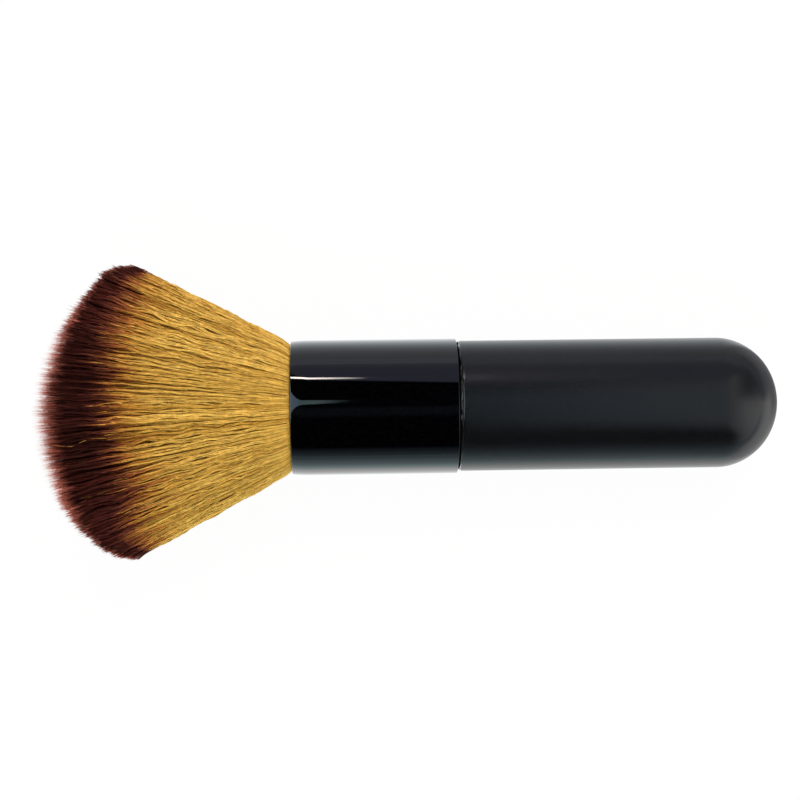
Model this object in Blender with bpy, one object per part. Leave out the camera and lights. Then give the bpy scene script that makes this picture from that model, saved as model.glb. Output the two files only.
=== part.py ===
"""Blush brush: a flared head of two-tone filaments in a gloss tube ferrule, on a short turned handle.

The brush is built along X from the ferrule's mouth: the handle runs to +X and the filaments to -X.
Y is the head's wide way and Z its thin way. The finished brush is then laid on its side, with its
weight on the handle's round end and on the underside of the head, and the floor under it at Z = 0.
Run it with: blender --background --python part.py
"""

import math

import bmesh
import bpy
import numpy as np
from mathutils import Matrix, Vector
from mathutils.geometry import delaunay_2d_cdt

MM = 0.001

# Sizes of the whole brush
OVERALL_LENGTH = 133.65 * MM  # from the crown of the head to the end of the handle
BRISTLE_REACH = 44.67 * MM  # from the ferrule's mouth to the crown of the head
HEAD_WIDTH = 54.07 * MM  # across the rim of the fan, along Y
HEAD_THICKNESS = 34.0 * MM  # through the fan, along Z
FIT_GAP = 0.25 * MM  # clearance that stands for every glued or pushed-together joint
WELD_DISTANCE = 0.001 * MM  # points of a turned piece closer than this are one

# Ferrule: drawn tube with its mouth rolled in
FERRULE_LENGTH = 30.1 * MM
FERRULE_DIAMETER = 24.6 * MM
FERRULE_WALL = 0.4 * MM
MOUTH_DRAW = 0.15 * MM  # how far the tube narrows on its way to the mouth
MOUTH_DRAW_LENGTH = 3.0 * MM
LIP_RADIUS = 0.75 * MM  # outside radius of the rolled mouth
REAR_EDGE_RADIUS = 0.2 * MM

# Handle: turned wood with a domed end and a tenon that fits the ferrule
HANDLE_STEP = 0.4 * MM  # how far the handle's side lies under the ferrule's
DOME_LENGTH = 11.2 * MM
SEAM_WIDTH = 0.8 * MM  # open line between the ferrule and the handle's shoulder
SHOULDER_RADIUS = 0.3 * MM
TENON_CHAMFER = 0.8 * MM
GROOVE_WIDTH = 1.2 * MM  # glue grooves turned in the tenon
GROOVE_DEPTH = 0.35 * MM
GROOVE_PLACE_SHARES = (0.35, 0.68)  # of the tenon's length, from its front end
PEG_HOLE_DIAMETER = 4.2 * MM  # blind hole that held the handle while it was sprayed
PEG_HOLE_DEPTH = 12.0 * MM
PEG_HOLE_POINT = 1.2 * MM  # cone left by the drill

# Glue between the tenon and the ferrule, with the bead that came out at the seam
GLUE_THICKNESS = 0.35 * MM
GLUE_SETBACK = 1.5 * MM  # bare length at the tenon's front end
BEAD_SINK = 0.15 * MM  # how far the bead lies under the handle's side

# Root of the filament bundle, inside the ferrule
BUNDLE_DEPTH = 4.0 * MM  # from the mouth down to the potted roots
ROOT_EDGE = 0.35 * MM  # potted margin outside the outermost filaments
THREAD_DIAMETER = 0.5 * MM
THREAD_PITCH = 1.0 * MM
THREAD_TURNS = 3
THREAD_MARGIN = 0.6 * MM  # potted root left bare at each end of the winding

# Resin poured in behind the roots. Its free face is hollow, because it crept up the ferrule's wall.
PLUG_LENGTH = 5.0 * MM
MENISCUS_DEPTH = 0.8 * MM
MENISCUS_SHARES = (0.85, 0.6, 0.3)  # of the plug's radius, where its free face has a ring
AIR_SPACE = 2.9 * MM  # left between the resin and the tenon

# Head: each strand stands for a lock of filaments
RIM_STRANDS = 72
INNER_POINTS = 128
RIM_SPACE_SHARE = 1.2  # room between the spiral's points and the rim, of their own spacing
STRAND_GAP = 0.12 * MM  # between neighbouring strands at their roots
LEAST_STRAND_SHARE = 0.3  # of its triangle of the net, for the slimmest strand
WIDE_DROP = 15.8 * MM  # how far the crown falls back on its way to the rim, the wide way
THIN_DROP = 6.0 * MM  # the same, the thin way
BELL_SHARE = 0.24  # how much faster than evenly the fan opens at the mouth
TIP_SCATTER = 0.9 * MM  # unevenness of the tips
DYED_LENGTH = 13.5 * MM  # dark end of every filament
TIP_SHARE = 0.35  # width of a strand's end, of its full width
SEED = 5

# Rings, facets and steps of the searches
ROUND_FACETS = 64
INNER_FACETS = 48
DOME_RINGS = 9
LIP_RINGS = 4
DRAW_RINGS = 3
EDGE_RINGS = 2
THREAD_POINTS_PER_TURN = 24
THREAD_BEVEL_RINGS = 1
HALVINGS = 40
FIT_PASSES = 6
STEEPEST_LIE = math.radians(30)
SMOOTH_ANGLE = math.radians(35)
NET_TOLERANCE = 1e-6  # of the net's own unit

# Places that follow from the sizes above
ferrule_radius = FERRULE_DIAMETER / 2
bore_radius = ferrule_radius - FERRULE_WALL
mouth_radius = ferrule_radius - MOUTH_DRAW - LIP_RADIUS
handle_radius = ferrule_radius - HANDLE_STEP
glue_outer_radius = bore_radius - FIT_GAP
glue_inner_radius = glue_outer_radius - GLUE_THICKNESS
tenon_radius = glue_inner_radius - FIT_GAP
thread_radius = bore_radius - FIT_GAP - THREAD_DIAMETER / 2
root_radius = thread_radius - THREAD_DIAMETER / 2 - FIT_GAP
strand_radius = root_radius - ROOT_EDGE
root_length = THREAD_TURNS * THREAD_PITCH + THREAD_DIAMETER + 2 * THREAD_MARGIN
root_end = BUNDLE_DEPTH + root_length
plug_start = root_end + FIT_GAP
plug_end = plug_start + PLUG_LENGTH
tenon_start = plug_end + AIR_SPACE
shoulder = FERRULE_LENGTH + SEAM_WIDTH
tenon_length = shoulder - tenon_start
handle_end = OVERALL_LENGTH - BRISTLE_REACH


def clear_scene():
    """Removes whatever the opened file holds."""
    for obj in list(bpy.data.objects):
        bpy.data.objects.remove(obj)


def finish_material(name, colour, roughness, metallic=0.0):
    """A Principled material in one linear colour."""
    material = bpy.data.materials.new(name)
    material.use_nodes = True
    shader = material.node_tree.nodes["Principled BSDF"]
    shader.inputs["Base Color"].default_value = (*colour, 1.0)
    shader.inputs["Roughness"].default_value = roughness
    shader.inputs["Metallic"].default_value = metallic
    return material


def arc(centre_x, centre_r, radius_x, radius_r, start, end, rings):
    """Points of an ellipse's arc in the profile plane, both ends included, with angles from +X."""
    angles = np.linspace(math.radians(start), math.radians(end), rings + 1)
    return [(centre_x + radius_x * math.cos(a), centre_r + radius_r * math.sin(a)) for a in angles]


def put_in_scene(name, mesh, materials):
    """Links a mesh as a smooth-shaded object that keeps its hard edges."""
    obj = bpy.data.objects.new(name, mesh)
    bpy.context.scene.collection.objects.link(obj)
    for material in materials:
        mesh.materials.append(material)
    mesh.shade_smooth()
    mesh.set_sharp_from_angle(angle=SMOOTH_ANGLE)
    return obj


def turned(name, profile, facets, material, closed):
    """Spins a profile of (x, radius) points about X. An open profile starts and ends on the axis."""
    bm = bmesh.new()
    half_facet = Matrix.Rotation(math.pi / facets, 4, "X")
    points = [bm.verts.new(half_facet @ Vector((x, 0, r))) for x, r in profile]
    ends = points[1:] + points[:1] if closed else points[1:]
    lines = [bm.edges.new(pair) for pair in zip(points, ends)]
    bmesh.ops.spin(
        bm,
        geom=points + lines,
        cent=(0, 0, 0),
        axis=(1, 0, 0),
        angle=2 * math.pi,
        steps=facets,
        use_merge=True,
    )
    bmesh.ops.remove_doubles(bm, verts=bm.verts, dist=WELD_DISTANCE)
    bmesh.ops.recalc_face_normals(bm, faces=bm.faces)
    mesh = bpy.data.meshes.new(name)
    bm.to_mesh(mesh)
    bm.free()
    return put_in_scene(name, mesh, [material])


def make_ferrule():
    """The tube. Its sheet narrows to the mouth and is rolled in there, so no raw edge meets the hair."""
    edge = min(REAR_EDGE_RADIUS, FERRULE_WALL / 2)
    roll_inside = LIP_RADIUS - FERRULE_WALL
    outside = arc(LIP_RADIUS, mouth_radius, LIP_RADIUS, LIP_RADIUS, 180, 90, LIP_RINGS)
    inside = arc(LIP_RADIUS, mouth_radius, roll_inside, roll_inside, 180, 90, LIP_RINGS)
    for ring in range(1, DRAW_RINGS + 1):
        share = ring / DRAW_RINGS
        x = LIP_RADIUS + share * MOUTH_DRAW_LENGTH
        radius = ferrule_radius - MOUTH_DRAW * (1 - share) ** 2
        outside.append((x, radius))
        inside.append((x, radius - FERRULE_WALL))
    outside += arc(FERRULE_LENGTH - edge, ferrule_radius - edge, edge, edge, 90, 0, EDGE_RINGS)
    inside.append((FERRULE_LENGTH, bore_radius))
    material = finish_material("gloss_black_aluminium", (0.004, 0.004, 0.005), 0.08)
    return turned("ferrule", outside + inside[::-1], ROUND_FACETS, material, closed=True)


def make_handle():
    """The turned handle: peg hole, grooved tenon, shoulder, straight side and domed end in one profile."""
    hole_radius = PEG_HOLE_DIAMETER / 2
    hole_end = tenon_start + PEG_HOLE_DEPTH
    profile = [(hole_end + PEG_HOLE_POINT, 0.0), (hole_end, hole_radius), (tenon_start, hole_radius)]
    profile += [(tenon_start, tenon_radius - TENON_CHAMFER), (tenon_start + TENON_CHAMFER, tenon_radius)]
    groove_floor = tenon_radius - GROOVE_DEPTH
    for share in GROOVE_PLACE_SHARES:
        near = tenon_start + share * tenon_length - GROOVE_WIDTH / 2
        far = near + GROOVE_WIDTH
        profile += [(near, tenon_radius), (near + GROOVE_DEPTH, groove_floor)]
        profile += [(far - GROOVE_DEPTH, groove_floor), (far, tenon_radius)]
    profile.append((shoulder, tenon_radius))
    edge = min(SHOULDER_RADIUS, (handle_radius - tenon_radius) / 2)
    profile += arc(shoulder + edge, handle_radius - edge, edge, edge, 180, 90, EDGE_RINGS)
    dome_start = handle_end - DOME_LENGTH
    profile += arc(dome_start, 0.0, DOME_LENGTH, handle_radius, 90, 0, DOME_RINGS)[:-1]
    profile.append((handle_end, 0.0))
    material = finish_material("soft_touch_black_lacquer", (0.012, 0.012, 0.014), 0.55)
    return turned("handle", profile, ROUND_FACETS, material, closed=False)


def make_tenon_glue():
    """The glue film round the tenon, and the bead that it left in the seam."""
    film_start = tenon_start + GLUE_SETBACK
    bead_start = FERRULE_LENGTH + FIT_GAP
    bead_end = shoulder - FIT_GAP
    bead_middle = (bead_start + bead_end) / 2
    bead_rise = handle_radius - BEAD_SINK - glue_outer_radius
    profile = [(film_start, glue_inner_radius), (film_start, glue_outer_radius)]
    profile += arc(bead_middle, glue_outer_radius, bead_end - bead_middle, bead_rise, 180, 0, 2 * EDGE_RINGS)
    profile.append((bead_end, glue_inner_radius))
    material = finish_material("tenon_glue", (0.02, 0.018, 0.016), 0.12)
    return turned("tenon_glue", profile, INNER_FACETS, material, closed=True)


def make_root_plug():
    """The resin behind the roots, with its hollow free face towards the tenon."""
    radius = bore_radius - FIT_GAP
    profile = [(plug_start, 0.0), (plug_start, radius), (plug_end, radius)]
    for share in MENISCUS_SHARES:
        profile.append((plug_end - MENISCUS_DEPTH * (1 - share**2), share * radius))
    profile.append((plug_end - MENISCUS_DEPTH, 0.0))
    material = finish_material("clear_resin", (0.45, 0.33, 0.14), 0.2)
    return turned("root_plug", profile, INNER_FACETS, material, closed=False)


def make_binding_thread():
    """The thread round the roots: one helix with straight ends, whose least gap to itself is printed."""
    start = BUNDLE_DEPTH + THREAD_MARGIN + THREAD_DIAMETER / 2
    turns = np.linspace(0, THREAD_TURNS, THREAD_TURNS * THREAD_POINTS_PER_TURN + 1)
    angles = turns * 2 * math.pi
    y, z = thread_radius * np.cos(angles), thread_radius * np.sin(angles)
    helix = np.column_stack((start + turns * THREAD_PITCH, y, z))
    ends = []
    for last, before in ((helix[0], helix[1]), (helix[-1], helix[-2])):
        ends.append(last + (last - before) / np.linalg.norm(last - before) * THREAD_DIAMETER)
    points = np.vstack((ends[0], helix, ends[1]))

    curve = bpy.data.curves.new("binding_thread", "CURVE")
    curve.dimensions = "3D"
    curve.bevel_depth = THREAD_DIAMETER / 2
    curve.bevel_resolution = THREAD_BEVEL_RINGS
    curve.use_fill_caps = True
    spline = curve.splines.new("POLY")
    spline.points.add(len(points) - 1)
    spline.points.foreach_set("co", np.column_stack((points, np.ones(len(points)))).ravel())
    thread = bpy.data.objects.new("binding_thread", curve)
    bpy.context.scene.collection.objects.link(thread)
    curve.materials.append(finish_material("cotton_thread", (0.62, 0.58, 0.5), 0.9))

    half_turn = THREAD_POINTS_PER_TURN // 2
    nearest = min(
        np.linalg.norm(points[i + half_turn :] - points[i], axis=1).min()
        for i in range(len(points) - half_turn)
    )
    print(f"binding_thread: least gap to itself {(nearest - THREAD_DIAMETER) / MM:.2f} mm")
    return thread


def root_net():
    """Triangles over the unit disc, one for each strand: an even rim, and a sunflower's spiral within."""
    rim_angles = np.arange(RIM_STRANDS) * 2 * math.pi / RIM_STRANDS
    golden_angle = math.pi * (3 - math.sqrt(5))
    order = np.arange(INNER_POINTS) + 0.5
    radii = (1 - RIM_SPACE_SHARE / math.sqrt(INNER_POINTS)) * np.sqrt(order / INNER_POINTS)
    inner = np.column_stack((radii * np.cos(order * golden_angle), radii * np.sin(order * golden_angle)))
    rim = np.column_stack((np.cos(rim_angles), np.sin(rim_angles)))
    points = [Vector(point) for point in np.vstack((inner, rim))]
    made = delaunay_2d_cdt(points, [], [], 0, NET_TOLERANCE)
    return np.array(made[0])[np.array(made[2])]


def drawn_in(triangles, inset):
    """The incentre of each triangle, and its corners about it once the sides have moved in by the inset."""
    sides = np.linalg.norm(np.roll(triangles, -1, axis=1) - np.roll(triangles, 1, axis=1), axis=2)
    perimeter = sides.sum(axis=1)
    incentre = (triangles * sides[:, :, None]).sum(axis=1) / perimeter[:, None]
    first, second = triangles[:, 1] - triangles[:, 0], triangles[:, 2] - triangles[:, 0]
    twice_area = np.abs(first[:, 0] * second[:, 1] - first[:, 1] * second[:, 0])
    share = np.clip(1 - inset * perimeter / twice_area, LEAST_STRAND_SHARE, 1)
    return incentre, (triangles - incentre[:, None]) * share[:, None, None]


def fan_half_sizes(x, spread):
    """Half the fan's width and half its thickness at x from the mouth. It opens a little faster at first."""
    start = mouth_radius - FIT_GAP
    halves = []
    for size, drop, factor in zip((HEAD_WIDTH, HEAD_THICKNESS), (WIDE_DROP, THIN_DROP), spread):
        share = x / (BRISTLE_REACH - drop)
        halves.append(start + (factor * size / 2 - start) * share * (1 + BELL_SHARE * (1 - share)))
    return np.stack(halves, axis=1)


def crown_reach(offsets):
    """How far the domed crown stands from the mouth over points (y, z): an ellipse's arc each way."""
    reach = BRISTLE_REACH
    for offset, size, drop in zip(offsets.T, (HEAD_WIDTH, HEAD_THICKNESS), (WIDE_DROP, THIN_DROP)):
        share = np.minimum(np.abs(offset) / (size / 2), 1)
        reach = reach - drop * (1 - np.sqrt(1 - share**2))
    return reach


def tip_reach(centres, spread):
    """Where each strand meets the crown, found by halving."""
    low = np.zeros(len(centres))
    high = np.full(len(centres), BRISTLE_REACH)
    for _ in range(HALVINGS):
        middle = (low + high) / 2
        short = middle < crown_reach(centres * fan_half_sizes(middle, spread))
        low, high = np.where(short, middle, low), np.where(short, high, middle)
    return low


def strand_rings(centres, corners, dye_line, reach, spread):
    """Four rings of three points for each strand: at its root, the mouth, the dye line and its tip."""
    mouth = np.zeros(len(centres))
    root_size = np.full((len(centres), 2), strand_radius)
    rings = [(mouth - BUNDLE_DEPTH, root_size, 1)]
    for x, width in ((mouth, 1), (dye_line, 1), (reach, TIP_SHARE)):
        rings.append((x, fan_half_sizes(x, spread), width))
    made = []
    for x, size, width in rings:
        across = (centres[:, None] + corners * width) * size[:, None]
        along = np.repeat(-x, 3).reshape(-1, 3, 1)
        made.append(np.concatenate((along, across), axis=2))
    return np.stack(made, axis=1)


def head_strands():
    """All strands, with the fan opened until it has the head's width and thickness."""
    centres, corners = drawn_in(root_net(), STRAND_GAP / 2 / strand_radius)
    scatter = TIP_SCATTER * np.random.default_rng(SEED).random(len(centres))
    crown = np.argmin(np.linalg.norm(centres, axis=1))
    spread = np.ones(2)
    for _ in range(FIT_PASSES):
        even = tip_reach(centres, spread)
        reach = even - scatter
        reach[crown] = BRISTLE_REACH
        rings = strand_rings(centres, corners, even - DYED_LENGTH, reach, spread)
        across = rings[..., 1:].reshape(-1, 2)
        spread *= np.array((HEAD_WIDTH, HEAD_THICKNESS)) / np.ptp(across, axis=0)
    return rings


def make_bristle_bundle():
    """The filaments as strands that never cross, grown out of one slice of potted root."""
    rings = head_strands()
    count = len(rings)

    # The slice's front face is a net between the rim of the slice and the foot of every strand.
    angles = (np.arange(INNER_FACETS) + 0.5) * 2 * math.pi / INNER_FACETS
    edge = np.column_stack((np.cos(angles), np.sin(angles))) * root_radius
    feet = rings[:, 0, :, 1:].reshape(-1, 2)
    plane = [Vector(point) for point in np.vstack((edge, feet)) / root_radius]
    outlines = [list(range(INNER_FACETS))]
    outlines += [[INNER_FACETS + 3 * i + k for k in range(3)] for i in range(count)]
    made = delaunay_2d_cdt(plane, [], outlines, 1, NET_TOLERANCE)
    net = [face for face, sources in zip(made[2], made[5]) if max(sources) == 0]

    bm = bmesh.new()
    rim = [bm.verts.new((BUNDLE_DEPTH, y, z)) for y, z in edge]
    back = [bm.verts.new((BUNDLE_DEPTH + root_length, y, z)) for y, z in edge]
    strands = [[[bm.verts.new(p) for p in ring] for ring in strand] for strand in rings]
    front = rim + [vertex for strand in strands for vertex in strand[0]]
    for face in net:
        bm.faces.new([front[made[3][i][0]] for i in face])
    for i in range(INNER_FACETS):
        after = (i + 1) % INNER_FACETS
        bm.faces.new((rim[i], rim[after], back[after], back[i]))
    bm.faces.new(back)
    for strand in strands:
        for low, high in zip(strand, strand[1:]):
            for k in range(3):
                # Sides are twisted, so two that face each other are split the same way, by their place.
                a, b = sorted((k, k - 1), key=lambda corner: low[corner].co.y)
                for corners in ((low[a], low[b], high[b]), (low[a], high[b], high[a])):
                    bm.faces.new(corners).material_index = int(high is strand[-1])
        bm.faces.new(strand[-1]).material_index = 1
    bmesh.ops.recalc_face_normals(bm, faces=bm.faces)
    mesh = bpy.data.meshes.new("bristle_bundle")
    bm.to_mesh(mesh)
    bm.free()
    gold = finish_material("golden_filament", (0.58, 0.33, 0.075), 0.4)
    brown = finish_material("dyed_filament_end", (0.055, 0.011, 0.008), 0.45)
    print(f"bristle_bundle: {count} strands")
    return put_in_scene("bristle_bundle", mesh, [gold, brown])


def turned_points(obj, turn):
    """The object's points after a turn, as an array."""
    points = np.array([vertex.co for vertex in obj.data.vertices])
    return points @ np.array(turn.to_3x3()).T


def lay_down(pieces, head, grip):
    """Parents the brush to one empty and lays it on the floor, on the head and the handle's end."""
    low, high = 0.0, STEEPEST_LIE
    for _ in range(HALVINGS):
        angle = (low + high) / 2
        turn = Matrix.Rotation(angle, 4, "Y")
        head_low, grip_low = (turned_points(obj, turn)[:, 2].min() for obj in (head, grip))
        low, high = (angle, high) if head_low < grip_low else (low, angle)
    both = np.vstack([turned_points(obj, turn) for obj in (head, grip)])
    middle = (both.min(axis=0) + both.max(axis=0)) / 2
    brush = bpy.data.objects.new("brush", None)
    bpy.context.scene.collection.objects.link(brush)
    brush.rotation_euler = (0, angle, 0)
    brush.location = (-middle[0], -middle[1], -both[:, 2].min())
    for piece in pieces:
        piece.parent = brush
    print(f"brush: its axis lies at {math.degrees(angle):.2f} degrees to the floor")


def main():
    clear_scene()
    handle = make_handle()
    bristles = make_bristle_bundle()
    pieces = [handle, bristles, make_ferrule(), make_tenon_glue(), make_root_plug(), make_binding_thread()]
    lay_down(pieces, bristles, handle)


main()
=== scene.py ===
# %% [markdown]
# # A blush brush, seen from straight above
# The brush lies on white paper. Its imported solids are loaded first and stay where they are: they are
# the frame of the picture. Every finer piece below is worked out with numpy and laid along the same
# axis, so it lands where the solid it stands for is.

import bmesh
import bpy
import numpy as np
from mathutils import Matrix, Quaternion, Vector


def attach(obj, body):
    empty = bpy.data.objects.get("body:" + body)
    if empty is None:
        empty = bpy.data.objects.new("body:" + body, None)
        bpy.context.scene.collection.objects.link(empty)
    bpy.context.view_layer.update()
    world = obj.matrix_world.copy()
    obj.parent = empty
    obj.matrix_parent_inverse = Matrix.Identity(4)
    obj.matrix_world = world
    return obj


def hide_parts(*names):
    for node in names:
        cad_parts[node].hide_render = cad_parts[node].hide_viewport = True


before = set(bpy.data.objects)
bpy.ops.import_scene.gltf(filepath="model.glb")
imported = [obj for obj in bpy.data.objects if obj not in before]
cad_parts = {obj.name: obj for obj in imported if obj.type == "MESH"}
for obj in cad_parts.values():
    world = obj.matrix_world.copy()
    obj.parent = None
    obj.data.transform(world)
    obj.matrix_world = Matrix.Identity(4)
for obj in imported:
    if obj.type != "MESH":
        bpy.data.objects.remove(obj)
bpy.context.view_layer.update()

MM = 0.001  # the scene is in metres and every size below in millimetres
print("solids:", sorted(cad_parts))

# %% [markdown]
# ## Where the brush lies
# The real brush rolls onto the underside of its head and the round end of its handle, so its axis is
# a little off level. The centres of two turned solids both lie on that axis, and two points are
# enough to find it. The ferrule's nearest point along it is the mouth, from which all is measured.


# %% Find the axis and the mouth
def solid_points(name):
    """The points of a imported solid, in millimetres."""
    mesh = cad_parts[name].data
    flat = np.zeros(len(mesh.vertices) * 3)
    mesh.vertices.foreach_get("co", flat)
    return flat.reshape(-1, 3) / MM


def unit(vectors):
    """Vectors divided by their lengths."""
    return vectors / np.linalg.norm(vectors, axis=-1, keepdims=True)


tube = solid_points("ferrule")
grip = solid_points("handle")
along = unit(grip.mean(axis=0) - tube.mean(axis=0))
across = unit(np.cross((0.0, 0.0, 1.0), along))
upward = np.cross(along, across)
mouth = tube.mean(axis=0)
mouth = mouth + along * ((tube - mouth) @ along).min()
axes = np.stack((along, across, upward))


def to_brush(points):
    """World millimetres to brush millimetres: along the axis from the mouth, across it, up from it."""
    return (points - mouth) @ axes.T


def to_world(points):
    """Brush millimetres to world metres: the mouth plus each coordinate times its own axis."""
    return (points @ axes + mouth) * MM


# %% Measure the solids
tube_in_brush = to_brush(tube)
grip_in_brush = to_brush(grip)
hair_in_brush = to_brush(solid_points("bristle_bundle"))
tube_length = np.ptp(tube_in_brush[:, 0])
tube_radius = np.linalg.norm(tube_in_brush[:, 1:], axis=1).max()
lip_radius = np.linalg.norm(tube_in_brush[:, 1:], axis=1).min()
grip_end = grip_in_brush[:, 0].max()
head_reach = -hair_in_brush[:, 0].min()
head_width, head_thickness = np.ptp(hair_in_brush[:, 1:], axis=0)
print(f"axis {np.degrees(np.arcsin(-along[2])):.2f} degrees off level, mouth at {mouth.round(2)} mm")
print(f"ferrule {tube_length:.2f} long, {2 * tube_radius:.2f} across, mouth {2 * lip_radius:.2f} mm")
print(f"head {head_width:.2f} x {head_thickness:.2f}, {head_reach:.2f} mm long")
print(f"handle ends at {grip_end:.2f} mm")

# %% [markdown]
# ## Helpers for shape
# A brush is turned and wound work, so most pieces are a profile carried round the axis. The profile
# is an array of (distance along, radius), and the whole surface is one outer product of it with the
# cosines and sines of the turn. That is exact and quick, where a spin tool would be neither.


# %% Profiles
def arc(centre, radii, start, end, steps):
    """Points of an ellipse: centre + radii times (cosine, sine), with angles in degrees from +X."""
    angles = np.radians(np.linspace(start, end, steps + 1))
    return np.column_stack((centre[0] + radii[0] * np.cos(angles), centre[1] + radii[1] * np.sin(angles)))


def line(start, end, longest=1.0):
    """Points from start to end, no further apart than the longest step, without the last one."""
    start, end = np.array(start, float), np.array(end, float)
    steps = max(1, int(np.ceil(np.linalg.norm(end - start) / longest)))
    return start + (end - start) * np.arange(steps)[:, None] / steps


# %% Surfaces
WELD = 0.0005 * MM  # points of a piece closer than this are one


def place_object(name, data):
    """A new object at the scene's origin that shows a mesh, a lamp or a camera."""
    made = bpy.data.objects.new(name, data)
    bpy.context.scene.collection.objects.link(made)
    return made


def grid_piece(name, grid, closed_rows):
    """A mesh from a grid of points (rows, columns, 3): neighbours share a four-sided face, and the
    columns close into a ring. The volume under the faces, a third of the sum of corner dot normal,
    says which way they point, and they are turned if it is negative."""
    rows, columns = grid.shape[:2]
    row = np.arange(rows if closed_rows else rows - 1)[:, None]
    column = np.arange(columns)[None, :]
    next_row, next_column = (row + 1) % rows, (column + 1) % columns
    corners = [row * columns + column, next_row * columns + column]
    corners += [next_row * columns + next_column, row * columns + next_column]
    faces = np.stack(np.broadcast_arrays(*corners), axis=-1).reshape(-1, 4)
    points = grid.reshape(-1, 3)
    a, b, c, d = (points[faces[:, i]] for i in range(4))
    volume = (np.cross(c - a, d - b) * (a + b + c + d)).sum() / 24
    if volume < 0:
        faces = faces[:, ::-1]
    mesh = bpy.data.meshes.new(name)
    mesh.from_pydata(to_world(points), [], faces.tolist())
    solid = bmesh.new()
    solid.from_mesh(mesh)
    bmesh.ops.remove_doubles(solid, verts=solid.verts, dist=WELD)
    solid.to_mesh(mesh)
    solid.free()
    mesh.shade_smooth()
    size = np.ptp(points, axis=0)
    print(f"{name}: {len(mesh.polygons)} faces, {size.round(2)} mm, {abs(volume):.0f} cubic mm")
    return place_object(name, mesh)


def turned(name, profile, segments, closed=False, wobble=None):
    """A profile (x, r) carried round the axis: the point (x, r cos t, r sin t) for every t. The
    wobble is an array (points, segments, 2) that is added to x and r."""
    turn = np.linspace(0, 2 * np.pi, segments, endpoint=False)
    x, radius = np.moveaxis(profile[:, None] + np.zeros((segments, 1)), -1, 0)
    if wobble is not None:
        x, radius = x + wobble[..., 0], radius + wobble[..., 1]
    return grid_piece(name, np.stack((x, radius * np.cos(turn), radius * np.sin(turn)), axis=-1), closed)


# %% [markdown]
# ## Helpers for finish
# Colours are picked on a screen, so they are written as they look there and turned to the linear
# values that light is reckoned in. One function adds any node, sets the values that it is given and
# links the sockets and nodes, so a material reads from top to bottom. Inputs go by name, or by number
# where names repeat: a mix of colours has its factor at 0 and the two colours at 6 and 7.


# %% Colours and nodes
def linear(code):
    """A colour such as "C99A3F" as linear light: ((c + 0.055) / 1.055) to the power 2.4, or c / 12.92."""
    values = np.array([int(code[i : i + 2], 16) for i in (0, 2, 4)]) / 255
    values = np.where(values > 0.04045, ((values + 0.055) / 1.055) ** 2.4, values / 12.92)
    return (*values.tolist(), 1.0)


def fill(tree, node, inputs):
    """Fills a node's inputs: a socket is linked, for a node its first in use, other values are set."""
    for name, value in inputs.items():
        if isinstance(value, bpy.types.Node):
            value = next(output for output in value.outputs if output.enabled)
        if isinstance(value, bpy.types.NodeSocket):
            tree.links.new(value, node.inputs[name])
        else:
            node.inputs[name].default_value = value


def add(tree, kind, inputs=None, stops=None, **settings):
    """Adds a shader node with its settings and inputs. Stops are the places and colours of a ramp."""
    made = tree.nodes.new("ShaderNode" + kind)
    for name, value in settings.items():
        setattr(made, name, value)
    fill(tree, made, inputs or {})
    if stops:
        for _ in stops[2:]:
            made.color_ramp.elements.new(0.5)
        for element, (place, colour) in zip(made.color_ramp.elements, stops):
            element.position = place
            element.color = linear(colour) if isinstance(colour, str) else (colour, colour, colour, 1.0)
    return made


def new_material(name):
    """An empty material that ends in one Principled shader: it, its tree, that shader and the place
    on the object that its patterns are laid over."""
    material = bpy.data.materials.new(name)
    material.use_nodes = True
    tree = material.node_tree
    print("material:", name)
    return material, tree, tree.nodes["Principled BSDF"], add(tree, "TexCoord").outputs["Object"]


def dress(piece, material, slot, *nodes):
    """Gives a piece its one material, its place in the part and the solids that it stands for."""
    piece.data.materials.clear()
    piece.data.materials.append(material)
    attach(piece, "root")
    if nodes:
        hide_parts(*nodes)


# %% [markdown]
# ## The handle
# The real handle is a short piece of hardwood, turned to a straight side and a domed end, with a
# thinner tenon that is glued into the ferrule. A lathe makes exactly a profile of revolution, so that
# is how it is made here. The dome is a quarter of an ellipse that leaves the side without a kink. The
# peg hole in the tenon's end is there too, because the handle was sprayed on a peg.

# %% Turn the handle
HANDLE_RADIUS = tube_radius - 0.4
SHOULDER = tube_length + 0.55  # the handle starts here, behind the bead of glue in the seam
DOME_LENGTH = 11.2
EDGE = 0.45  # rounding of the shoulder's edge
TENON_START, TENON_RADIUS, TENON_CHAMFER = 16.85, 11.05, 0.8
GROOVES = (21.77, 26.40)  # middles of the two glue grooves
GROOVE_HALF, GROOVE_DEPTH = 0.6, 0.35
PEG_RADIUS, PEG_END, PEG_POINT = 2.1, 28.85, 1.2

corners = [(PEG_END + PEG_POINT, 0), (PEG_END, PEG_RADIUS), (TENON_START, PEG_RADIUS)]
corners += [(TENON_START, TENON_RADIUS - TENON_CHAMFER), (TENON_START + TENON_CHAMFER, TENON_RADIUS)]
floor_half, floor_radius = GROOVE_HALF - GROOVE_DEPTH, TENON_RADIUS - GROOVE_DEPTH
for middle in GROOVES:
    corners += [(middle - GROOVE_HALF, TENON_RADIUS), (middle - floor_half, floor_radius)]
    corners += [(middle + floor_half, floor_radius), (middle + GROOVE_HALF, TENON_RADIUS)]
corners.append((SHOULDER, TENON_RADIUS))
dome_start = grip_end - DOME_LENGTH
profile = [line(start, end) for start, end in zip(corners, corners[1:])]
profile += [line(corners[-1], (SHOULDER, HANDLE_RADIUS - EDGE), 0.1)]
profile += [arc((SHOULDER + EDGE, HANDLE_RADIUS - EDGE), (EDGE, EDGE), 180, 90, 8)]
profile += [line((SHOULDER + 1.5 * EDGE, HANDLE_RADIUS), (dome_start, HANDLE_RADIUS), 1.5)]
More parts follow.
